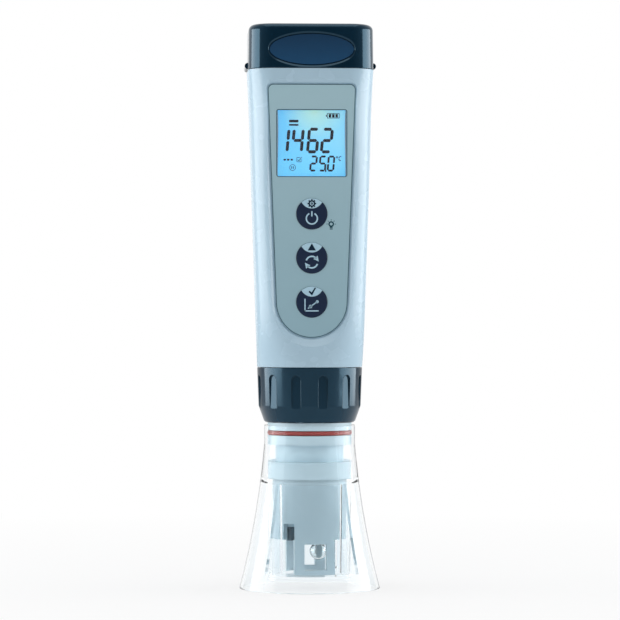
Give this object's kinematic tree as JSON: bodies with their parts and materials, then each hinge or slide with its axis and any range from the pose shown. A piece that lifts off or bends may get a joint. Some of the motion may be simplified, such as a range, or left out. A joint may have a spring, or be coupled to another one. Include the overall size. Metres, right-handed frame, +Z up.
{
  "type": "pocket multiparameter meter",
  "caption": "Handheld water tester: tapered housing with display and round keys, locking collar, replaceable sensor and clear sample cup that doubles as its stand.",
  "frame": {"origin": "centre of the sample cup's base, on the surface it stands on", "axes": "+Z up the meter, -Y out of the display, +X to the right of someone reading it"},
  "size_m": [0.0488, 0.0488, 0.195],
  "materials": {
    "clear_cup": "clear, polished",
    "white_sensor": "satin",
    "red_rubber": "moulded",
    "grey_rubber": "moulded",
    "electrode_glass": "clear",
    "silver": "drawn wire",
    "graphite": "ground",
    "steel": "plated",
    "junction_white": "porous",
    "potting_resin": "cast",
    "board_green": "solder mask",
    "gold": "gold plated",
    "navy_plastic": "glossy",
    "white_housing": "satin",
    "panel_film": "fine satin",
    "window_clear": "clear",
    "lcd": "polarised",
    "light_guide": "diffusing",
    "grey_plastic": "satin",
    "black_plastic": "satin",
    "cell_jacket": "printed film",
    "ribbon_film": "film",
    "badge_blue": "printed film",
    "key_navy": "glossy"
  },
  "bodies": {
    "cup": {"sample_cup": "clear_cup"},
    "sensor": {"sensor_body": "white_sensor", "cup_o_ring": "red_rubber", "plug_o_ring": "red_rubber", "flange_gasket": "grey_rubber", "glass_electrode": "electrode_glass", "silver_wire": "silver", "conductivity_pins": "graphite", "pin_sleeves": "white_sensor", "temperature_probe": "steel", "reference_junction": "junction_white", "sensor_potting": "potting_resin", "sensor_header": "board_green", "sensor_pins": "gold"},
    "collar": {"lock_collar": "navy_plastic"},
    "housing": {"housing": "white_housing", "keypad_panel": "panel_film", "display_window": "window_clear", "lcd_glass": "lcd", "backlight": "light_guide", "display_frame": "grey_plastic", "elastomer_strips": "grey_rubber", "circuit_board": "board_green", "snap_domes": "steel", "processor_chip": "black_plastic", "ribbon_connector": "grey_plastic", "board_screws": "steel", "battery_chassis": "black_plastic", "battery_cells": "cell_jacket", "lower_contacts": "steel", "sensor_socket": "black_plastic", "socket_contacts": "gold", "socket_screws": "steel", "sensor_ribbon": "ribbon_film"},
    "cap": {"battery_cap": "navy_plastic", "badge_inlay": "badge_blue", "cap_seal": "grey_rubber", "contact_carrier": "black_plastic", "upper_contacts": "steel", "carrier_screws": "steel"},
    "power_button": {"key_power": "key_navy"},
    "mode_button": {"key_mode": "key_navy"},
    "calibrate_button": {"key_calibrate": "key_navy"}
  },
  "joints": [
    {"name": "cup_pull", "type": "slide", "parent": "cup", "child": "sensor", "axis": [0, 0, 1], "range_m": [0, 0.06]},
    {"name": "collar_turn", "type": "hinge", "parent": "sensor", "child": "collar", "pos_m": [0, 0, 0.067], "axis": [0, 0, -1], "range_deg": [0, 1080]},
    {"name": "housing_lift", "type": "slide", "parent": "sensor", "child": "housing", "axis": [0, 0, 1], "range_m": [0, 0.009]},
    {"name": "cap_pull", "type": "slide", "parent": "housing", "child": "cap", "axis": [0, 0, 1], "range_m": [0, 0.03]},
    {"name": "power_button_press", "type": "slide", "parent": "housing", "child": "power_button", "axis": [0, 1, 0], "range_m": [0, 0.0004], "stiffness_N_per_m": 1500, "springref_m": -0.0004},
    {"name": "mode_button_press", "type": "slide", "parent": "housing", "child": "mode_button", "axis": [0, 1, 0], "range_m": [0, 0.0004], "stiffness_N_per_m": 1500, "springref_m": -0.0004},
    {"name": "calibrate_button_press", "type": "slide", "parent": "housing", "child": "calibrate_button", "axis": [0, 1, 0], "range_m": [0, 0.0004], "stiffness_N_per_m": 1500, "springref_m": -0.0004}
  ],
  "couplings": [
    {"joint": "collar_turn", "follows": "housing_lift", "rad_per_m": 2094.3}
  ]
}
